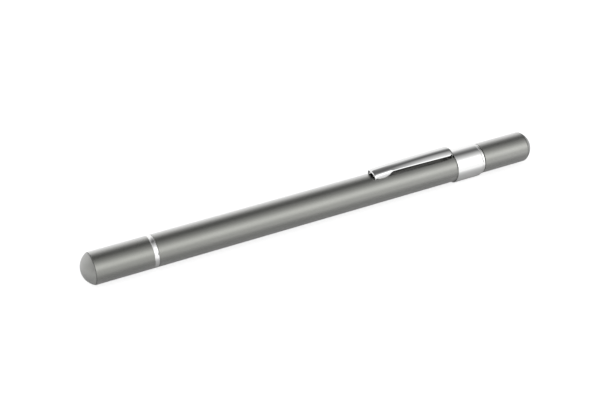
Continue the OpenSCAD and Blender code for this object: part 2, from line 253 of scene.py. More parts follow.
# each finish: two colours, roughness and its change, grain or lines, bare metal at worn edges,
# and for some a painted sheen as a pale rim, painted shade as a dark inside, or a coat
finishes = {
    # rim: the pale grey of a painted sheen, where a surface is seen at a low angle
    "gunmetal": {
        "color": (0.268, 0.2705, 0.253), "other": (0.255, 0.2575, 0.241), "metal": 1.0, "rough": 0.31,
        "change": 0.06, "pattern": "grain", "perMm": 7.0, "bump": 0.10, "depth": 0.004,
        "bare": (0.42, 0.42, 0.4), "wear": 0.35, "rim": 0.95},
    "end_plug": {
        "color": (0.36, 0.3625, 0.347), "other": (0.33, 0.3325, 0.317), "metal": 0.6, "rough": 0.43,
        "change": 0.06, "pattern": "grain", "perMm": 9.0, "bump": 0.22, "depth": 0.006,
        "bare": (0.45, 0.45, 0.43), "wear": 0.3, "rim": 0.55},
    "tail_plug": {
        "color": (0.262, 0.2645, 0.249), "other": (0.25, 0.2525, 0.237), "metal": 1.0, "rough": 0.34,
        "change": 0.06, "pattern": "grain", "perMm": 8.0, "bump": 0.14, "depth": 0.005,
        "bare": (0.4, 0.4, 0.38), "wear": 0.3, "rim": 0.35},
    "bright_trim": {
        "color": (0.8, 0.802, 0.8), "other": (0.78, 0.783, 0.782), "metal": 1.0, "rough": 0.08,
        "change": 0.03, "pattern": "lines", "perMm": 5.0, "bump": 0.03, "depth": 0.002,
        # the dark grey here is painted shade on the clip's underside and the back of its shoulder
        "bare": (0.8, 0.79, 0.76), "wear": 0.2, "paintedShadeColor": (0.2, 0.2, 0.2)},
    "polished_trim": {
        "color": (0.92, 0.921, 0.917), "other": (0.9, 0.901, 0.898), "metal": 1.0, "rough": 0.08,
        "change": 0.03, "pattern": "lines", "perMm": 5.0, "bump": 0.03, "depth": 0.002,
        "bare": (0.9, 0.89, 0.87), "wear": 0.2},
    "nose_steel": {
        "color": (0.62, 0.62, 0.625), "other": (0.58, 0.58, 0.59), "metal": 1.0, "rough": 0.27,
        "change": 0.06, "pattern": "lines", "perMm": 9.0, "bump": 0.16, "depth": 0.004,
        "bare": (0.75, 0.75, 0.75), "wear": 0.4},
    "liner": {
        "color": (0.045, 0.046, 0.05), "other": (0.06, 0.06, 0.064), "metal": 0.0, "rough": 0.5,
        "change": 0.12, "pattern": "grain", "perMm": 6.0, "bump": 0.2, "depth": 0.01,
        "bare": (0.12, 0.12, 0.12), "wear": 0.2},
    "rubber": {
        "color": (0.02, 0.02, 0.022), "other": (0.032, 0.031, 0.031), "metal": 0.0, "rough": 0.62,
        "change": 0.15, "pattern": "grain", "perMm": 12.0, "bump": 0.3, "depth": 0.008,
        "bare": (0.06, 0.06, 0.06), "wear": 0.2},
    "brass": {
        "color": (0.76, 0.58, 0.27), "other": (0.68, 0.50, 0.22), "metal": 1.0, "rough": 0.26,
        "change": 0.1, "pattern": "lines", "perMm": 10.0, "bump": 0.2, "depth": 0.004,
        "bare": (0.85, 0.70, 0.40), "wear": 0.3},
    "ball": {
        "color": (0.52, 0.52, 0.54), "other": (0.48, 0.48, 0.5), "metal": 1.0, "rough": 0.14,
        "change": 0.06, "pattern": "lines", "perMm": 14.0, "bump": 0.1, "depth": 0.002,
        "bare": (0.6, 0.6, 0.6), "wear": 0.2},
    "refill_steel": {
        "color": (0.66, 0.67, 0.68), "other": (0.62, 0.63, 0.645), "metal": 1.0, "rough": 0.25,
        "change": 0.06, "pattern": "lines", "perMm": 6.0, "bump": 0.12, "depth": 0.003,
        "bare": (0.75, 0.75, 0.75), "wear": 0.2},
    "refill_plastic": {
        "color": (0.05, 0.05, 0.055), "other": (0.07, 0.07, 0.072), "metal": 0.0, "rough": 0.45,
        "change": 0.12, "pattern": "grain", "perMm": 8.0, "bump": 0.2, "depth": 0.006,
        "bare": (0.1, 0.1, 0.1), "wear": 0.2},
    "ink": {
        "color": (0.008, 0.012, 0.11), "other": (0.014, 0.02, 0.15), "metal": 0.0, "rough": 0.2,
        "change": 0.08, "pattern": "grain", "perMm": 2.0, "bump": 0.1, "depth": 0.01,
        "bare": (0.02, 0.03, 0.2), "wear": 0.2, "coat": 0.3},
    "spring_steel": {
        "color": (0.58, 0.58, 0.59), "other": (0.5, 0.5, 0.515), "metal": 1.0, "rough": 0.3,
        "change": 0.08, "pattern": "grain", "perMm": 10.0, "bump": 0.15, "depth": 0.004,
        "bare": (0.7, 0.7, 0.7), "wear": 0.2},
}
# painted sheen: the blend and the power of the pale colour towards low angles
paintedSheenBlend = 0.5
paintedSheenPower = 1.5


def makeFinish(slotName):
    look = finishes[slotName]
    material = bpy.data.materials.new(slotName)
    material.use_nodes = True
    tree = material.node_tree
    tree.nodes.clear()
    output = addNode(tree, "ShaderNodeOutputMaterial", (900, 0))
    shader = addNode(tree, "ShaderNodeBsdfPrincipled", (600, 0))
    shader.inputs["Metallic"].default_value = look["metal"]
    shader.inputs["Coat Weight"].default_value = look.get("coat", 0.0)
    join(tree, shader.outputs["BSDF"], output.inputs["Surface"])
    where = addNode(tree, "ShaderNodeTexCoord", (-900, 0)).outputs["Object"]
    marks = placeGroup(tree, handMarks, (-600, 200), Coordinate=where, Marks_per_mm=marksLook["perMm"],
                       Color=solid(look["color"]), Other=solid(look["other"]),
                       Rough=look["rough"], Change=look["change"])
    pattern = placeGroup(tree, patternGroups[look["pattern"]], (-600, -200), Coordinate=where,
                         Marks_per_mm=look["perMm"], Low=-look["change"], High=look["change"])
    edge = addNode(tree, "ShaderNodeAttribute", (-600, 450), attribute_name="edge")
    wear = placeGroup(tree, edgeWear, (-200, 300), Coordinate=where, Edge=edge.outputs["Fac"],
                      Base=marks.outputs["Color"], Bare=solid(look["bare"]), Amount=look["wear"])
    rough = addMath(tree, (-300, -50), "ADD", marks.outputs["Rough"], pattern.outputs["Value"], clamp=True)
    bump = addNode(tree, "ShaderNodeBump", (200, -300))
    bump.inputs["Strength"].default_value = look["bump"]
    bump.inputs["Distance"].default_value = look["depth"] * mm
    join(tree, pattern.outputs["Height"], bump.inputs["Height"])
    color = wear.outputs["Color"]
    if "rim" in look:
        # painted sheen: the base colour goes pale where the surface is seen at a low angle
        facing = addNode(tree, "ShaderNodeLayerWeight", (-200, 650))
        facing.inputs["Blend"].default_value = paintedSheenBlend
        low = addMath(tree, (0, 650), "POWER", facing.outputs["Facing"], paintedSheenPower)
        color = addMix(tree, (250, 450), low, color, grey(look["rim"]))
    if "paintedShadeColor" in look:
        # painted shade: the clip's underside and the back of its shoulder are painted dark
        paintedShadeColor = addNode(tree, "ShaderNodeAttribute", (0, 650), attribute_name="inside")
        color = addMix(tree, (250, 450), paintedShadeColor.outputs["Fac"], color, solid(look["paintedShadeColor"]))
    join(tree, color, shader.inputs["Base Color"])
    join(tree, rough, shader.inputs["Roughness"])
    join(tree, bump.outputs["Normal"], shader.inputs["Normal"])
    return material


materials = {name: makeFinish(name) for name in finishes}
print("finishes made:", len(materials))


# two trees that sweep a line: one turns a profile round the pen's axis, one follows a spiral

def sweepTree(name, inputs):
    tree = bpy.data.node_groups.new(name, "GeometryNodeTree")
    tree.is_modifier = True
    face = tree.interface
    face.new_socket("Geometry", in_out="INPUT", socket_type="NodeSocketGeometry")
    identifiers = {}
    for label, kind in inputs + [("Place", "Vector"), ("Finish", "Material")]:
        socket = face.new_socket(label, in_out="INPUT", socket_type="NodeSocket" + kind)
        identifiers[label] = socket.identifier
    face.new_socket("Geometry", in_out="OUTPUT", socket_type="NodeSocketGeometry")
    start = addNode(tree, "NodeGroupInput", (-900, 0))
    return tree, identifiers, start.outputs


def layAlongPen(tree, start, swept):
    # the end of both trees: laid along the pen at its place, smooth, realized and painted
    lie = addNode(tree, "GeometryNodeTransform", (150, 0))
    lie.inputs["Rotation"].default_value = (0.0, math.pi / 2, 0.0)  # axis from upright to along the pen
    smooth = addNode(tree, "GeometryNodeSetShadeSmooth", (400, 0))
    realize = addNode(tree, "GeometryNodeRealizeInstances", (620, 0))
    paint = addNode(tree, "GeometryNodeSetMaterial", (850, 0))
    stop = addNode(tree, "NodeGroupOutput", (1100, 0))
    join(tree, swept, lie.inputs["Geometry"])
    join(tree, start["Place"], lie.inputs["Translation"])
    join(tree, start["Finish"], paint.inputs["Material"])
    for before, after in ((lie, smooth), (smooth, realize), (realize, paint), (paint, stop)):
        join(tree, before.outputs["Geometry"], after.inputs["Geometry"])


mergeWithin = 0.000002  # metres, closes the seam and the poles


def makeLatheTree():
    tree, identifiers, start = sweepTree("turnedPiece", [("Segments", "Int"), ("Sweep Radius", "Float")])
    profile = addNode(tree, "GeometryNodeMeshToCurve", (-600, -150))
    circle = addNode(tree, "GeometryNodeCurvePrimitiveCircle", (-600, 150), mode="RADIUS")
    sweep = addNode(tree, "GeometryNodeCurveToMesh", (-350, 0))
    merge = addNode(tree, "GeometryNodeMergeByDistance", (-100, 0))
    merge.inputs["Distance"].default_value = mergeWithin
    join(tree, start["Geometry"], profile.inputs["Mesh"])
    join(tree, start["Segments"], circle.inputs["Resolution"])
    join(tree, start["Sweep Radius"], circle.inputs["Radius"])
    join(tree, circle.outputs["Curve"], sweep.inputs["Curve"])
    join(tree, profile.outputs["Curve"], sweep.inputs["Profile Curve"])
    join(tree, sweep.outputs["Mesh"], merge.inputs["Geometry"])
    layAlongPen(tree, start, merge.outputs["Geometry"])
    return tree, identifiers


def makeSpiralTree():
    tree, identifiers, start = sweepTree(
        "spiralSweep",
        [("Turns", "Float"), ("Radius", "Float"), ("Length", "Float"), ("Section Radius", "Float"),
         ("Section Sides", "Int"), ("Steps per Turn", "Int")])
    spiral = addNode(tree, "GeometryNodeCurveSpiral", (-600, 150))
    section = addNode(tree, "GeometryNodeCurvePrimitiveCircle", (-600, -250), mode="RADIUS")
    sweep = addNode(tree, "GeometryNodeCurveToMesh", (-300, 0))
    sweep.inputs["Fill Caps"].default_value = True
    join(tree, start["Turns"], spiral.inputs["Rotations"])
    join(tree, start["Radius"], spiral.inputs["Start Radius"])
    join(tree, start["Radius"], spiral.inputs["End Radius"])
    join(tree, start["Length"], spiral.inputs["Height"])
    join(tree, start["Steps per Turn"], spiral.inputs["Resolution"])
    join(tree, start["Section Sides"], section.inputs["Resolution"])
    join(tree, start["Section Radius"], section.inputs["Radius"])
    join(tree, spiral.outputs["Curve"], sweep.inputs["Curve"])
    join(tree, section.outputs["Curve"], sweep.inputs["Profile Curve"])
    layAlongPen(tree, start, sweep.outputs["Mesh"])
    return tree, identifiers


latheTree, latheInputs = makeLatheTree()
spiralTree, spiralInputs = makeSpiralTree()
sweepRadius = 10.0  # millimetres, only a carrier for the profile
crispFrom = math.radians(40)  # a sharper edge than this stays crisp
edgeRoom = 0.48  # share of a side that a rounding and its support may take


def applied(piece, modifier):
    # the modifier's result becomes the piece's own mesh
    depsgraph = bpy.context.evaluated_depsgraph_get()
    made = bpy.data.meshes.new_from_object(piece.evaluated_get(depsgraph))
    piece.modifiers.remove(modifier)
    piece.data = made
    return made


def outward(mesh):
    work = bmesh.new()
    work.from_mesh(mesh)
    if work.calc_volume(signed=True) < 0:
        bmesh.ops.reverse_faces(work, faces=work.faces)
    work.to_mesh(mesh)
    work.free()


def sweepPiece(piece, tree, identifiers, values):
    sweep = piece.modifiers.new("sweep", "NODES")
    sweep.node_group = tree
    for label, value in values.items():
        sweep[identifiers[label]] = value
    made = applied(piece, sweep)
    outward(made)
    return made


def turned(name, node, body, slotName, points, closed=True, segments=160):
    mesh = bpy.data.meshes.new(name)
    verts = [((out - sweepRadius) * mm, -along * mm, 0.0) for along, out, edge in points]
    edges = [(i, i + 1) for i in range(len(verts) - 1)]
    if closed:
        edges.append((len(verts) - 1, 0))
    mesh.from_pydata(verts, edges, [])
    worn = mesh.attributes.new("edge", "FLOAT", "POINT")
    worn.data.foreach_set("value", [edge for along, out, edge in points])
    piece = addObject(name, mesh)
    made = sweepPiece(piece, latheTree, latheInputs, {
        "Segments": segments, "Sweep Radius": sweepRadius * mm,
        "Place": (penFront * mm, 0.0, penAxis * mm), "Finish": materials[slotName]})
    made.set_sharp_from_angle(angle=crispFrom)
    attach(piece, body)
    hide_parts(node)
    return piece


def roundCorners(corners, closed, steps=6, support=0.05):
    # corners are (distance, radius, rounding); gives (distance, radius, edge) with 1 on the roundings
    points = []
    count = len(corners)
    for i, (along, out, rounding) in enumerate(corners):
        here = Vector((along, out))
        atEnd = not closed and i in (0, count - 1)
        if rounding <= 0 or atEnd:
            points.append((along, out, 0.0))
            continue
        toLast = Vector(corners[i - 1][:2]) - here
        toNext = Vector(corners[(i + 1) % count][:2]) - here
        half = toLast.angle(toNext) / 2
        reach = rounding / math.tan(half)
        first = toLast.normalized()
        second = toNext.normalized()
        middle = here + (first + second).normalized() * rounding / math.sin(half)
        begin = here + first * reach
        end = here + second * reach
        if reach + support < edgeRoom * toLast.length:
            p = here + first * (reach + support)
            points.append((p.x, p.y, 0.0))
        turn = (begin - middle).angle_signed(end - middle)
        for k in range(steps + 1):
            spoke = begin - middle
            spoke.rotate(Matrix.Rotation(-turn * k / steps, 2))
            p = middle + spoke
            points.append((p.x, p.y, 1.0))
        if reach + support < edgeRoom * toNext.length:
            p = here + second * (reach + support)
            points.append((p.x, p.y, 0.0))
    return points


def arcPoints(at, top, radius, fromAngle, toAngle, steps, edge=0.0):
    # part of a circle whose highest point is at top, angles in degrees from the front
    points = []
    for k in range(steps + 1):
        angle = math.radians(fromAngle + (toAngle - fromAngle) * k / steps)
        points.append((at - radius * math.cos(angle), top - radius + radius * math.sin(angle), edge))
    return points


# turned pieces, in millimetres; a name that ends in Edge or Foot is a small rounding

def domePoints(rim, height, steps):
    # spherical cap from the middle out to just before the rim
    globe = (rim * rim + height * height) / (2 * height)
    full = math.asin(rim / globe)
    points = []
    for k in range(steps):
        angle = full * k / steps
        points.append((globe * (1 - math.cos(angle)), globe * math.sin(angle), 0.0))
    return points


def makeDome(name, node, body, slotName, look, mirrored=False):
    front, back, out = span(node)
    height = look["height"]
    length = back - front
    hollowAt = height + look["hollowAt"]
    corners = domePoints(look["rim"], height, look["steps"])
    corners += [
        (height, look["rim"], look["rimEdge"]), (height, look["spigot"], look["spigotFoot"]),
        (length, look["spigot"], look["spigotEdge"]), (length, look["hollow"], look["hollowEdge"]),
        (hollowAt, look["hollow"], look["hollowEdge"]), (hollowAt, 0.0, 0.0)]
    points = roundCorners(corners, closed=False, support=look["support"])
    if mirrored:
        points = [(back - along, out, edge) for along, out, edge in points]
    else:
        points = [(front + along, out, edge) for along, out, edge in points]
    turned(name, node, body, slotName, points, closed=False)


capDome = {"height": 2.7, "rim": 4.45, "rimEdge": 0.07, "spigot": 3.98, "spigotFoot": 0.03, "spigotEdge": 0.1,
           "hollow": 3.2, "hollowAt": 0.7, "hollowEdge": 0.05, "steps": 28, "support": 0.02}
makeDome("capDomePiece", "cap_dome", "front_cap", "end_plug", capDome)

# drawn forward to the next piece, so that the seam is a hairline
sleeves = {
    "cap_sleeve": {"piece": "capSleevePiece", "body": "front_cap", "inner": 4.0, "forward": 0.03,
                   "frontEdge": 0.05, "backEdge": 0.06, "innerEdge": 0.04},
    "tail_sleeve": {"piece": "tailSleevePiece", "body": "tail", "inner": 3.95, "forward": 0.07,
                    "frontEdge": 0.05, "backEdge": 0.06, "innerEdge": 0.04},
}
for node, look in sleeves.items():
    front, back, out = span(node)
    front -= look["forward"]
    corners = [(front, look["inner"], look["innerEdge"]), (front, out, look["frontEdge"]),
               (back, out, look["backEdge"]), (back, look["inner"], look["innerEdge"])]
    turned(look["piece"], node, look["body"], "gunmetal", roundCorners(corners, True))

capRing = {"bore": 3.45, "skirt": 3.98, "width": 1.2, "rib": 0.13, "dip": 0.04, "backward": 0.08,
           "ribSteps": 10, "ribWear": 0.5, "step": 0.05, "mouthEdge": 0.12, "skirtEdge": 0.05}
front, back, out = span("cap_ring")
rib = capRing["rib"]
ringAt = back - capRing["width"]
back += capRing["backward"]
ribFoot = math.degrees(math.asin(1 - capRing["dip"] / rib))  # where a rib meets the flat band
ringPoints = [(ringAt, capRing["skirt"] + capRing["step"], 0.0)]
for at, fromAngle, toAngle in ((ringAt + rib, 0, 180 - ribFoot), (back - rib, ribFoot, 180)):
    ringPoints += arcPoints(at, out, rib, fromAngle, toAngle, capRing["ribSteps"], capRing["ribWear"])
ringPoints += roundCorners(
    [(back, out - rib, 0.0), (back, capRing["bore"], capRing["mouthEdge"]),
     (front, capRing["bore"], capRing["skirtEdge"]), (front, capRing["skirt"], capRing["skirtEdge"]),
     (ringAt, capRing["skirt"], 0.0)], closed=False)[1:]
turned("capRingPiece", "cap_ring", "front_cap", "polished_trim", ringPoints)

collar = {"bore": 4.55, "boreEdge": 0.06, "boreFoot": 0.05, "lipBore": 3.35, "lipEdge": 0.06, "lipFoot": 0.05,
          "lip": 0.8, "outerEdge": 0.16, "steps": 8}
front, back, out = span("clip_collar")
lipAt = back - collar["lip"]
corners = [(front, collar["bore"], collar["boreEdge"]), (front, out, collar["outerEdge"]),
           (back, out, collar["outerEdge"]), (back, collar["lipBore"], collar["lipEdge"]),
           (lipAt, collar["lipBore"], collar["lipFoot"]), (lipAt, collar["bore"], collar["boreFoot"])]
turned("collarPiece", "clip_collar", "barrel", "polished_trim", roundCorners(corners, True, collar["steps"]))

beadRing = {"bore": 2.6, "boreEdge": 0.06, "steps": 18, "wear": 0.5}
front, back, out = span("rear_ring")
bead = (back - front) / 2
beadPoints = arcPoints(front + bead, out, bead, 0, 180, beadRing["steps"], beadRing["wear"])
beadPoints += roundCorners(
    [(back, out - bead, 0.0), (back, beadRing["bore"], beadRing["boreEdge"]),
     (front, beadRing["bore"], beadRing["boreEdge"]), (front, out - bead, 0.0)], closed=False)[1:-1]
turned("beadRingPiece", "rear_ring", "rear_ring", "polished_trim", beadPoints)

tailDome = {**capDome, "rim": 4.4, "spigot": 3.93, "hollow": 3.15}  # as the cap's, a little slimmer
makeDome("tailDomePiece", "tail_dome", "tail", "tail_plug", tailDome, mirrored=True)

barrel = {"inner": 4.0, "innerEdge": 0.04, "outerEdge": 0.07, "forward": 0.05, "segments": 192,
          "notchHalf": 1.95, "notchAt": 112.3, "notchLong": 6.0, "notchTall": 4.0, "notchFrom": 2.0,
          "extraRing": 1.0}  # points just before the notch, which keep its cut local
front, back, out = span("barrel_tube")
front -= barrel["forward"]
extraAt = barrel["notchAt"] - barrel["extraRing"]
corners = [(front, barrel["inner"], barrel["innerEdge"]), (front, out, barrel["outerEdge"]),
           (extraAt, out, 0.0), (back, out, barrel["outerEdge"]),
           (back, barrel["inner"], barrel["innerEdge"]), (extraAt, barrel["inner"], 0.0)]
barrelPiece = turned("barrelPiece", "barrel_tube", "barrel", "gunmetal", roundCorners(corners, True),
                     segments=barrel["segments"])


def cutNotch(piece, look):
    # the slot in the barrel's top that the clip's tongue goes through
    box = bpy.data.meshes.new("notchBox")
    work = bmesh.new()
    bmesh.ops.create_cube(work, size=1.0)
    long = look["notchLong"]
    tall = look["notchTall"]
    bmesh.ops.scale(work, vec=(long * mm, 2 * look["notchHalf"] * mm, tall * mm), verts=work.verts)
    along = penFront + look["notchAt"] + long / 2
    height = penAxis + look["notchFrom"] + tall / 2
    bmesh.ops.translate(work, vec=(along * mm, 0.0, height * mm), verts=work.verts)
    work.to_mesh(box)
    work.free()
    cutter = addObject("notchBox", box)
    cut = piece.modifiers.new("notch", "BOOLEAN")
    cut.object = cutter
    cut.solver = "EXACT"
    made = applied(piece, cut)
    bpy.data.objects.remove(cutter)
    made.set_sharp_from_angle(angle=crispFrom)


cutNotch(barrelPiece, barrel)

nose = {"tip": 1.75, "tipEdge": 0.14, "exit": 1.2, "exitEdge": 0.08, "exitLen": 3.0, "bore": 1.6,
        "boreEdge": 0.05, "gripFrom": 4.9, "gripEdge": 0.5, "groove": 2.865, "grooveMid": 3.0,
        "grooveHalf": 0.325, "grooveEdge": 0.05, "grooveFoot": 0.04, "backEdge": 0.06,
        "spigot": 2.93, "spigotFoot": 0.04, "spigotEdge": 0.1}
front, back, out = span("nose_section")
bushAt = span("front_bush")[0]
grooveAt = bushAt - nose["grooveMid"]
grooveFront = grooveAt - nose["grooveHalf"]
grooveBack = grooveAt + nose["grooveHalf"]
exitEnd = front + nose["exitLen"]
corners = [
    (front, nose["exit"], nose["exitEdge"]), (front, nose["tip"], nose["tipEdge"]),
    (bushAt - nose["gripFrom"], out, nose["gripEdge"]),
    (grooveFront, out, nose["grooveEdge"]), (grooveFront, nose["groove"], nose["grooveFoot"]),
    (grooveBack, nose["groove"], nose["grooveFoot"]), (grooveBack, out, nose["grooveEdge"]),
    (bushAt, out, nose["backEdge"]), (bushAt, nose["spigot"], nose["spigotFoot"]),
    (back, nose["spigot"], nose["spigotEdge"]), (back, nose["bore"], nose["boreEdge"]),
    (exitEnd, nose["bore"], nose["boreEdge"]), (exitEnd, nose["exit"], nose["boreEdge"])]
turned("nosePiece", "nose_section", "barrel", "nose_steel", roundCorners(corners, True))

gripRing = {"thick": 0.55, "steps": 20}
front, back, out = span("nose_grip_ring")
ringLoop = arcPoints((front + back) / 2, out, gripRing["thick"] / 2, 0, 360, gripRing["steps"])[:-1]
turned("gripRingPiece", "nose_grip_ring", "barrel", "rubber", ringLoop)

refillPoint = {"lip": 0.6, "lipFrom": 0.5, "lipEdge": 0.02, "cone": 2.4, "coneEdge": 0.4, "straight": 1.15,
               "tubeAt": 11.7, "tubeEdge": 0.05, "tubeFoot": 0.02, "spigot": 1.08, "spigotEdge": 0.05,
               "hole": 0.3, "holeEdge": 0.03, "holeFrom": 7.0, "segments": 96, "socket": 0.52, "ballAt": 5.7,
               "rimAngle": 67.4, "holeAngle": -54.8, "socketSteps": 8,
               "frontShare": 0.417 / 0.923}  # the socket's front part is drawn in to this share
front, back, out = span("refill_point")
socketPoints = []
for k in range(refillPoint["socketSteps"] + 1):
    # from the rim back to the ink hole
    share = k / refillPoint["socketSteps"]
    angle = math.radians(between(refillPoint["rimAngle"], refillPoint["holeAngle"], share))
    ahead = refillPoint["socket"] * math.sin(angle)
    if ahead > 0:
        ahead *= refillPoint["frontShare"]
    beside = math.sqrt(refillPoint["socket"] ** 2 - ahead ** 2)
    socketPoints.append((refillPoint["ballAt"] - ahead, beside, 0.0))
corners = [
    (front, refillPoint["lipFrom"], 0.0), (front, refillPoint["lip"], refillPoint["lipEdge"]),
    (front + refillPoint["cone"], refillPoint["straight"], refillPoint["coneEdge"]),
    (refillPoint["tubeAt"], refillPoint["straight"], refillPoint["tubeEdge"]),
    (refillPoint["tubeAt"], refillPoint["spigot"], refillPoint["tubeFoot"]),
    (back, refillPoint["spigot"], refillPoint["spigotEdge"]),
    (back, refillPoint["hole"], refillPoint["holeEdge"]), (refillPoint["holeFrom"], refillPoint["hole"], 0.0)]
pointLoop = roundCorners(corners, closed=False)[1:] + list(reversed(socketPoints))
turned("refillPointPiece", "refill_point", "barrel", "brass", pointLoop, segments=refillPoint["segments"])

writingBall = {"steps": 24, "segments": 48}
front, back, out = span("point_ball")
ballLine = arcPoints((front + back) / 2, out, out, 0, 180, writingBall["steps"])
turned("writingBallPiece", "point_ball", "writing_ball", "ball", ballLine, closed=False,
       segments=writingBall["segments"])
print("turned pieces made")


# wire and thread: a small section swept along a spiral

def spiralPiece(name, body, slotName, at, length, look):
    piece = addObject(name, bpy.data.meshes.new(name))
    sweepPiece(piece, spiralTree, spiralInputs, {
        "Turns": look["turns"], "Radius": look["radius"] * mm, "Length": length * mm,
        "Section Radius": look["section"] * mm, "Section Sides": look["sides"],
        "Steps per Turn": look["perTurn"], "Place": ((penFront + at) * mm, 0.0, penAxis * mm),
        "Finish": materials[slotName]})
    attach(piece, body)
    return piece


spring = {"turns": 5.0, "radius": 1.55, "section": 0.175, "sides": 12, "perTurn": 40}
front, back, out = span("refill_spring")
springAt = front + spring["section"]
springLength = back - front - 2 * spring["section"]
springPiece = spiralPiece("springPiece", "barrel", "spring_steel", springAt, springLength, spring)
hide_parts("refill_spring")

stud = {"core": 2.3, "coreEdge": 0.25, "coreFoot": 0.04, "shoulder": 3.93, "shoulderEdge": 0.1,
        "shoulderAt": 0.3, "hollow": 2.4, "hollowEdge": 0.05, "solidLen": 2.0}
front, back, out = span("tail_stud")
shoulderAt = span("tail_sleeve")[0] + stud["shoulderAt"]
hollowAt = shoulderAt + stud["solidLen"]
corners = [
    (front, 0.0, 0.0), (front, stud["core"], stud["coreEdge"]), (shoulderAt, stud["core"], stud["coreFoot"]),
    (shoulderAt, stud["shoulder"], stud["shoulderEdge"]), (back, stud["shoulder"], stud["shoulderEdge"]),
    (back, stud["hollow"], stud["hollowEdge"]), (hollowAt, stud["hollow"], stud["hollowEdge"]),
    (hollowAt, 0.0, 0.0)]
turned("studPiece", "tail_stud", "tail", "brass", roundCorners(corners, closed=False), closed=False)
thread = {"turns": 9.0, "radius": 2.3, "length": 4.5, "section": 0.19, "sides": 6, "perTurn": 48,
          "from": 0.35}
spiralPiece("studThreadPiece", "tail", "brass", front + thread["from"], thread["length"], thread)
print("spring and thread made")


# the clip: one bent sheet with a blunt tip, folded ears, a shoulder and a tongue
clipSheet = {
    "length": 25.05, "thick": 0.45, "crestTip": 6.02, "crestRoot": 6.71,
    "sagEar": 0.62, "sagRoot": 1.1, "sagFrom": 1.3, "sagTo": 23.3, "sagTongue": 0.35,
    "powerEar": 1.45, "powerRoot": 2.15, "powerFrom": 3.3, "powerTo": 9.3, "powerPlain": 2.0,
    "halfTip": 1.9, "halfRoot": 2.42, "halfBend": 2.0, "halfTongue": 1.5,
    "edgeBend": 0.5, "edgeTurn": 0.08, "edgeLen": 0.05,
    "tipDip": 0.22, "tipDipLen": 1.1, "tipSag": 0.2, "tipFace": 1.75, "tipBend": 0.55, "tipSide": 5.06,
    "tipTurn": 90.0, "tipFrom": -0.05, "tipTo": 0.03,  # the tip's form gives way to the ears' between these
    "earSet": 0.22, "earLen": 5.85, "earPeak": 2.486, "earFace": 2.19, "earBend": 1.0, "earTurn": 98.0,
    "earTop": 5.5, "earGap": 0.12, "earFade": 1.2, "earPast": 0.35,  # an ear fades out round its rear end
    "shoulder": 1.5, "shoulderGap": 0.2, "foot": 0.45, "footHeight": 4.3, "tongueIn": 3.8,
    "paintedShadeFrom": 26.0, "paintedShadeTo": 50.0, "paintedShadeBy": 0.65,  # degrees round the shoulder over which its back is painted dark as painted shade, and how dark
    "crispFrom": 50.0,
}
# how finely the clip is drawn
clipSteps = {
    "tipAngles": (8, 20, 35, 50, 70), "tipShare": 0.72, "tip": 12, "tipPast": 0.06, "gap": 0.04,
    "ear": 50, "earPast": 0.6, "blade": 40, "shoulder": 16, "foot": 10, "tongue": (1.5, 0.4, 0.05),
    "arch": 16, "fold": 7, "side": 6, "edge": 6, "tries": 12,
}
roundShare = 0.98  # keeps a point just inside the ear's round
collarAt = span("clip_collar")[0]
bendAt = collarAt - clipSheet["shoulderGap"] - clipSheet["shoulder"]
tipAt = bendAt - clipSheet["length"]
barrelOut = span("barrel_tube")[2]


def earBottomAt(fromFront):
    # height of an ear's lower edge, a round that comes down close to the barrel
    c = clipSheet
    low = math.sqrt((barrelOut + c["earGap"]) ** 2 - c["earFace"] ** 2)
    drop = c["earTop"] - low
    back = c["earLen"] - c["earPeak"]
    radius = (back ** 2 + drop ** 2) / (2 * drop)
    off = min(abs(fromFront - c["earPeak"]), radius * roundShare)
    return low + radius - math.sqrt(radius ** 2 - off ** 2)


def bladeStation(d):
    # one section of the blade, d measured back from the tip
    c = clipSheet
    part = d / c["length"]
    wide = between(c["halfTip"], c["halfRoot"], part)
    crest = between(c["crestTip"], c["crestRoot"], 1 - (1 - part) ** 2)
    crest -= c["tipDip"] * (1 - smoothStep(0.0, c["tipDipLen"], d))
    sag = between(c["sagEar"], c["sagRoot"], smoothStep(c["sagFrom"], c["sagTo"], d))
    power = between(c["powerEar"], c["powerRoot"], smoothStep(c["powerFrom"], c["powerTo"], d))
    fromFront = d - c["earSet"]
    atTip = 1 - smoothStep(c["tipFrom"], c["tipTo"], fromFront)
    share = 1 - smoothStep(c["earLen"] - c["earFade"], c["earLen"] + c["earPast"], fromFront)
    reach = between((crest - earBottomAt(fromFront)) * share ** 0.5, crest - c["tipSide"], atTip)
    rounding = min(1.0, d / (c["thick"] / 2))
    thin = math.sqrt(max(0.0, 1 - (1 - rounding) ** 2))  # the tip's end is rounded off
    return {"along": tipAt + d, "crest": crest, "angle": 0.0, "wide": wide, "share": share,
            "sag": between(sag, c["tipSag"], atTip), "power": between(power, c["powerPlain"], atTip),
            "face": between(wide, between(c["earFace"], c["tipFace"], atTip), share),
            "bend": between(c["edgeBend"], between(c["earBend"], c["tipBend"], atTip), share),
            "turn": math.radians(between(c["earTurn"], c["tipTurn"], atTip)),
            "reach": reach, "thick": c["thick"] * thin, "paintedShade": 0.0}


def plainStation(along, crest, angle, wide, sag, power, paintedShade=1.0):
    # one section behind the blade, with no ears
    return {"along": along, "crest": crest, "angle": angle, "wide": wide, "sag": sag, "power": power,
            "share": 0.0, "face": wide, "bend": clipSheet["edgeBend"], "turn": math.pi / 2, "reach": 0.0,
            "thick": clipSheet["thick"], "paintedShade": paintedShade}


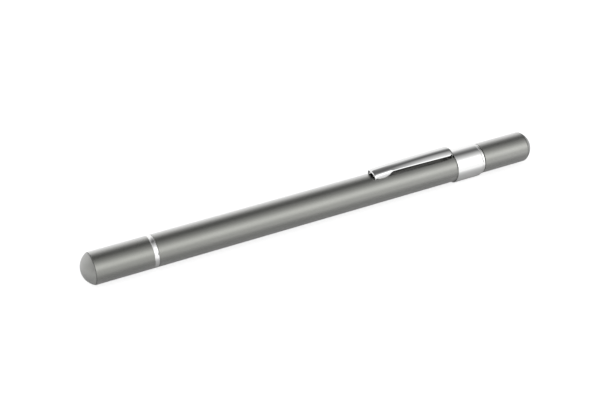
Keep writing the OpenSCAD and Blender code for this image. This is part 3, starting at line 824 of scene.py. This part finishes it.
def clipStations():
    c = clipSheet
    steps = clipSteps
    half = c["thick"] / 2
    tipFrom = half * steps["tipShare"]
    tipEnd = c["earSet"] + steps["tipPast"]
    earEnd = c["earSet"] + c["earLen"] + steps["earPast"]
    distances = [half * (1 - math.cos(math.radians(a))) for a in steps["tipAngles"]]
    distances += [between(tipFrom, tipEnd, k / steps["tip"]) for k in range(steps["tip"] + 1)]
    start = distances[-1] + steps["gap"]
    distances += [between(start, earEnd, k / steps["ear"]) for k in range(steps["ear"] + 1)]
    distances += [between(earEnd, c["length"], k / steps["blade"]) for k in range(1, steps["blade"] + 1)]
    stations = [bladeStation(d) for d in distances]
    for k in range(1, steps["shoulder"] + 1):
        share = k / steps["shoulder"]
        turn = math.pi / 2 * share
        stations.append(plainStation(
            bendAt + c["shoulder"] * math.sin(turn), c["crestRoot"] - c["shoulder"] * (1 - math.cos(turn)),
            turn, between(c["halfRoot"], c["halfBend"], share), between(c["sagRoot"], c["sagTongue"], share),
            between(c["powerRoot"], c["powerPlain"], share),
            c["paintedShadeBy"] * smoothStep(c["paintedShadeFrom"], c["paintedShadeTo"], math.degrees(turn))))
    footAt = bendAt + c["shoulder"]
    for k in range(steps["foot"] + 1):
        share = k / steps["foot"]
        turn = math.pi / 2 * share
        stations.append(plainStation(
            footAt + c["foot"] * (1 - math.cos(turn)), c["footHeight"] + c["foot"] * (1 - math.sin(turn)),
            math.pi / 2 - turn, between(c["halfBend"], c["halfTongue"], share), c["sagTongue"],
            c["powerPlain"]))
    for before in steps["tongue"]:
        stations.append(plainStation(collarAt + c["tongueIn"] - before, c["footHeight"], 0.0, c["halfTongue"],
                                     c["sagTongue"], c["powerPlain"]))
    return stations


def clipSection(station):
    # half of the outer line as (across, drop), from the middle to the edge
    c = clipSheet
    steps = clipSteps
    wide = station["wide"]
    sag = station["sag"]
    power = station["power"]
    bend = station["bend"]
    begin = station["face"]
    for attempt in range(steps["tries"]):
        # where the arch ends and the bend begins, so that the bend ends on the face
        slope = math.atan(sag * power / wide * (begin / wide) ** (power - 1))
        full = between(slope, station["turn"], between(c["edgeTurn"], 1.0, station["share"]))
        begin = station["face"] - bend * (math.sin(full) - math.sin(slope))
    line = []
    for k in range(steps["arch"] + 1):
        across = begin * k / steps["arch"]
        line.append((across, sag * (across / wide) ** power))
    across, drop = line[-1]
    for k in range(1, steps["fold"] + 1):
        turn = between(slope, full, k / steps["fold"])
        line.append((across + bend * (math.sin(turn) - math.sin(slope)),
                     drop + bend * (math.cos(slope) - math.cos(turn))))
    across, drop = line[-1]
    down = max(c["edgeLen"], station["reach"] - drop)
    for k in range(1, steps["side"] + 1):
        share = k / steps["side"]
        line.append((across + down * math.cos(full) * share, drop + down * math.sin(full) * share))
    return line


def clipLoop(station):
    # closed loop round the sheet: outer side, rounded edge, inner side, rounded edge
    right = clipSection(station)
    outer = [(-across, drop) for across, drop in reversed(right[1:])] + right
    count = len(outer)
    normals = []
    for i in range(count):
        a = outer[max(0, i - 1)]
        b = outer[min(count - 1, i + 1)]
        run = Vector((b[0] - a[0], b[1] - a[1])).normalized()
        normals.append(Vector((-run.y, run.x)))  # into the sheet
    half = station["thick"] / 2
    middle = [Vector(outer[i]) + normals[i] * clipSheet["thick"] / 2 for i in range(count)]
    edges = []
    for end, sign in ((count - 1, 1), (0, -1)):
        into = normals[end]
        run = Vector((into.y, -into.x)) * sign
        edge = []
        for k in range(1, clipSteps["edge"]):
            turn = math.pi * k / clipSteps["edge"]
            edge.append(middle[end] + (run * math.sin(turn) - into * sign * math.cos(turn)) * half)
        edges.append(edge)
    loop = [middle[i] - normals[i] * half for i in range(count)] + edges[0]
    loop += [middle[i] + normals[i] * half for i in reversed(range(count))] + edges[1]
    sin = math.sin(station["angle"])
    cos = math.cos(station["angle"])
    along = penFront + station["along"]
    crest = penAxis + station["crest"]
    return [((along - p.y * sin) * mm, p.x * mm, (crest - p.y * cos) * mm) for p in loop]


def makeClip():
    stations = clipStations()
    loops = [clipLoop(station) for station in stations]
    size = len(loops[0])
    edgeCount = clipSteps["edge"] - 1  # points on one rounded edge
    outerCount = size // 2 - edgeCount
    mesh = bpy.data.meshes.new("clipPiece")
    verts = [p for loop in loops for p in loop]
    faces = []
    for i in range(len(loops) - 1):
        for j in range(size):
            a = i * size + j
            b = i * size + (j + 1) % size
            faces.append((a, b, b + size, a + size))
    for first in (0, (len(loops) - 1) * size):
        for j in range(outerCount - 1):
            a = first + j
            b = first + 2 * outerCount + edgeCount - 1 - j  # the inner point behind a
            faces.append((a, a + 1, b - 1, b))
    mesh.from_pydata(verts, [], faces)
    # painted shade: the sheet's inner side, and the shoulder stations that carry it, are marked to be painted
    # dark
    inner = [1.0 if outerCount < j < size - 1 else 0.0 for j in range(size)]
    inside = mesh.attributes.new("inside", "FLOAT", "POINT")
    inside.data.foreach_set("value", [max(value, station["paintedShade"]) for station in stations for value in inner])
    work = bmesh.new()
    work.from_mesh(mesh)
    bmesh.ops.holes_fill(work, edges=[e for e in work.edges if e.is_boundary], sides=0)
    bmesh.ops.recalc_face_normals(work, faces=work.faces)
    work.to_mesh(mesh)
    work.free()
    outward(mesh)
    mesh.polygons.foreach_set("use_smooth", [True] * len(mesh.polygons))
    mesh.set_sharp_from_angle(angle=math.radians(clipSheet["crispFrom"]))
    mesh.materials.append(materials["bright_trim"])
    piece = addObject("clipPiece", mesh)
    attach(piece, "clip")
    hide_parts("clip")


makeClip()
print("clip made")

# solids that stay as they are get their finish from the record's slots
for part in frame["record"]["subparts"]:
    solidNode = nodes[part["node"]]
    if not solidNode.hide_render:
        solidNode.data.materials.clear()
        solidNode.data.materials.append(materials[part["material_slot"]])


# camera at the photograph's angle, placed from the crease of the cap's dome
shot = {"azimuth": -27.499, "elevation": 33.244, "lens": 80.4, "sensor": 36.0, "crease": 2.7,
        "right": -54.46, "down": 15.27, "away": 348.7, "near": 0.01, "far": 20.0}


def makeCamera():
    a = math.radians(shot["azimuth"])
    e = math.radians(shot["elevation"])
    right = Vector((math.cos(a), math.sin(a), 0.0))
    up = Vector((-math.sin(a) * math.sin(e), math.cos(a) * math.sin(e), math.cos(e)))
    ahead = Vector((-math.sin(a) * math.cos(e), math.cos(a) * math.cos(e), -math.sin(e)))
    crease = Vector((penFront + shot["crease"], 0.0, penAxis))
    eye = crease - right * shot["right"] + up * shot["down"] - ahead * shot["away"]
    data = bpy.data.cameras.new("photoCamera")
    data.sensor_width = shot["sensor"]
    data.lens = shot["lens"]
    data.clip_start = shot["near"]
    data.clip_end = shot["far"]
    camera = addObject("photoCamera", data)
    turn = Matrix((right, up, -ahead)).transposed()
    camera.matrix_world = Matrix.Translation(eye * mm) @ turn.to_4x4()
    scene.camera = camera


makeCamera()

# studio: a pale floor with a painted reflection in metal, and a sky of soft bands along the pen: bright in
# front, dark overhead, white behind
studio = {
    "strength": 1.0, "leftFrom": -0.3, "leftTo": -0.7, "endsFrom": 0.58, "endsTo": 0.94, "endsLight": 0.95,
    "dims": [
        {"towards": (-0.55, -0.8, 0.1), "inner": 8.0, "outer": 38.0, "by": 0.75},  # low in front, on the left
        {"towards": (0.88, 0.33, 0.36), "inner": 12.0, "outer": 24.0, "by": 0.9},  # raised, past the tail
    ],
    # degrees from the front's horizon over the top to the back's, and the light there
    "bands": [(0, 1.16), (7, 1.33), (14, 1.62), (21, 1.94), (27, 2.06), (34, 1.96), (41, 1.68), (48, 1.38),
              (55, 1.11), (62, 0.86), (70, 0.65), (78, 0.5), (90, 0.275), (98, 0.15), (106, 0.14),
              (114, 0.22), (123, 0.37), (133, 0.6), (147, 1.0), (180, 1.1)],
    "leftBands": [(0, 0.95), (25, 0.65), (55, 0.3), (80, 0.5), (105, 1.2), (130, 1.6), (150, 1.65),
                  (180, 1.3)],
    # the floor's glow as seen in metal, and its fall-off near the pen, are a painted reflection
    "floorTint": (0.86, 0.86, 0.855), "floorGlow": 0.77, "floorPaintedReflection": 0.7, "floorShade": 0.48,
    "floorNear": 0.0, "floorFar": 0.022, "floorSize": 6.0,
}


def bandRamp(tree, place, share, bands):
    ramp = addNode(tree, "ShaderNodeValToRGB", place)
    stops = ramp.color_ramp.elements
    while len(stops) < len(bands):
        stops.new(0.5)
    for stop, (degrees, light) in zip(stops, bands):
        stop.position = degrees / 180.0
    for stop, (degrees, light) in zip(stops, bands):
        stop.color = grey(light)
    join(tree, share, ramp.inputs["Fac"])
    return ramp.outputs["Color"]


def makeWorld():
    world = bpy.data.worlds.new("studio")
    scene.world = world
    world.use_nodes = True
    tree = world.node_tree
    tree.nodes.clear()
    output = addNode(tree, "ShaderNodeOutputWorld", (1100, 0))
    where = addNode(tree, "ShaderNodeTexCoord", (-900, 0)).outputs["Generated"]
    split = addNode(tree, "ShaderNodeSeparateXYZ", (-700, 0))
    join(tree, where, split.inputs[0])
    sideways = split.outputs["X"]
    front = addMath(tree, (-500, -150), "MULTIPLY", split.outputs["Y"], -1.0)
    angle = addMath(tree, (-300, 0), "ARCTAN2", split.outputs["Z"], front)
    share = addMath(tree, (-100, 0), "DIVIDE", angle, math.pi)
    main = bandRamp(tree, (100, 0), share, studio["bands"])
    left = bandRamp(tree, (100, -300), share, studio["leftBands"])
    onLeft = addRange(tree, (-100, 300), sideways, studio["leftFrom"], studio["leftTo"], kind="SMOOTHSTEP")
    sides = addMix(tree, (400, 0), onLeft, main, left)
    fromMiddle = addMath(tree, (-300, 500), "ABSOLUTE", sideways)
    atEnds = addRange(tree, (-100, 500), fromMiddle, studio["endsFrom"], studio["endsTo"], kind="SMOOTHSTEP")
    color = addMix(tree, (550, 0), atEnds, sides, grey(studio["endsLight"]))
    light = studio["strength"]
    for i, dim in enumerate(studio["dims"]):
        height = 700 + 250 * i
        aim = Vector(dim["towards"]).normalized()
        towards = addVectorMath(tree, (-300, height), "DOT_PRODUCT", where, aim)
        outer = math.cos(math.radians(dim["outer"]))
        inner = math.cos(math.radians(dim["inner"]))
        patch = addRange(tree, (-100, height), towards.outputs["Value"], outer, inner, 1.0, 1 - dim["by"],
                         kind="SMOOTHSTEP")
        light = addMath(tree, (300, height), "MULTIPLY", light, patch)
    room = addNode(tree, "ShaderNodeBackground", (700, 100))
    feed(tree, room.inputs["Strength"], light)
    feed(tree, room.inputs["Color"], color)
    white = addNode(tree, "ShaderNodeBackground", (700, -100))
    white.inputs["Color"].default_value = grey(1.0)
    path = addNode(tree, "ShaderNodeLightPath", (700, 450))
    mix = addNode(tree, "ShaderNodeMixShader", (900, 0))
    join(tree, path.outputs["Is Camera Ray"], mix.inputs["Fac"])
    join(tree, room.outputs[0], mix.inputs[1])
    join(tree, white.outputs[0], mix.inputs[2])
    join(tree, mix.outputs[0], output.inputs["Surface"])


def makeFloor():
    half = studio["floorSize"] / 2
    mesh = bpy.data.meshes.new("floor")
    corners = [(-half, -half, 0), (half, -half, 0), (half, half, 0), (-half, half, 0)]
    mesh.from_pydata(corners, [], [(0, 1, 2, 3)])
    floor = addObject("floor", mesh)
    material = bpy.data.materials.new("paleFloor")
    material.use_nodes = True
    tree = material.node_tree
    tree.nodes.clear()
    output = addNode(tree, "ShaderNodeOutputMaterial", (900, 0))
    plain = addNode(tree, "ShaderNodeBsdfDiffuse", (100, 200))
    plain.inputs["Color"].default_value = solid(studio["floorTint"])
    shade = addNode(tree, "ShaderNodeBsdfDiffuse", (100, 0))
    shade.inputs["Color"].default_value = grey(studio["floorShade"])
    glow = addNode(tree, "ShaderNodeEmission", (100, -200))
    both = addNode(tree, "ShaderNodeAddShader", (350, -100))
    join(tree, shade.outputs[0], both.inputs[0])
    join(tree, glow.outputs[0], both.inputs[1])
    path = addNode(tree, "ShaderNodeLightPath", (-600, 500))
    cameraRay = path.outputs["Is Camera Ray"]
    glossyRay = path.outputs["Is Glossy Ray"]
    # painted reflection: seen in metal the floor glows, dim close to the pen and brighter further off, a
    # painted shade under the pen
    far = addRange(tree, (-350, 300), path.outputs["Ray Length"], studio["floorNear"], studio["floorFar"],
                   toMax=studio["floorPaintedReflection"], kind="SMOOTHSTEP")
    direct = addMath(tree, (-350, 0), "MULTIPLY", cameraRay, studio["floorGlow"])
    mirrored = addMath(tree, (-150, 400), "MULTIPLY_ADD", glossyRay, far, direct)
    join(tree, mirrored, glow.inputs["Strength"])
    seen = addMath(tree, (0, 600), "ADD", cameraRay, glossyRay, clamp=True)
    mix = addNode(tree, "ShaderNodeMixShader", (650, 0))
    join(tree, seen, mix.inputs["Fac"])
    join(tree, plain.outputs[0], mix.inputs[1])
    join(tree, both.outputs[0], mix.inputs[2])
    join(tree, mix.outputs[0], output.inputs["Surface"])
    mesh.materials.append(material)


makeWorld()
makeFloor()
print("camera and studio made")
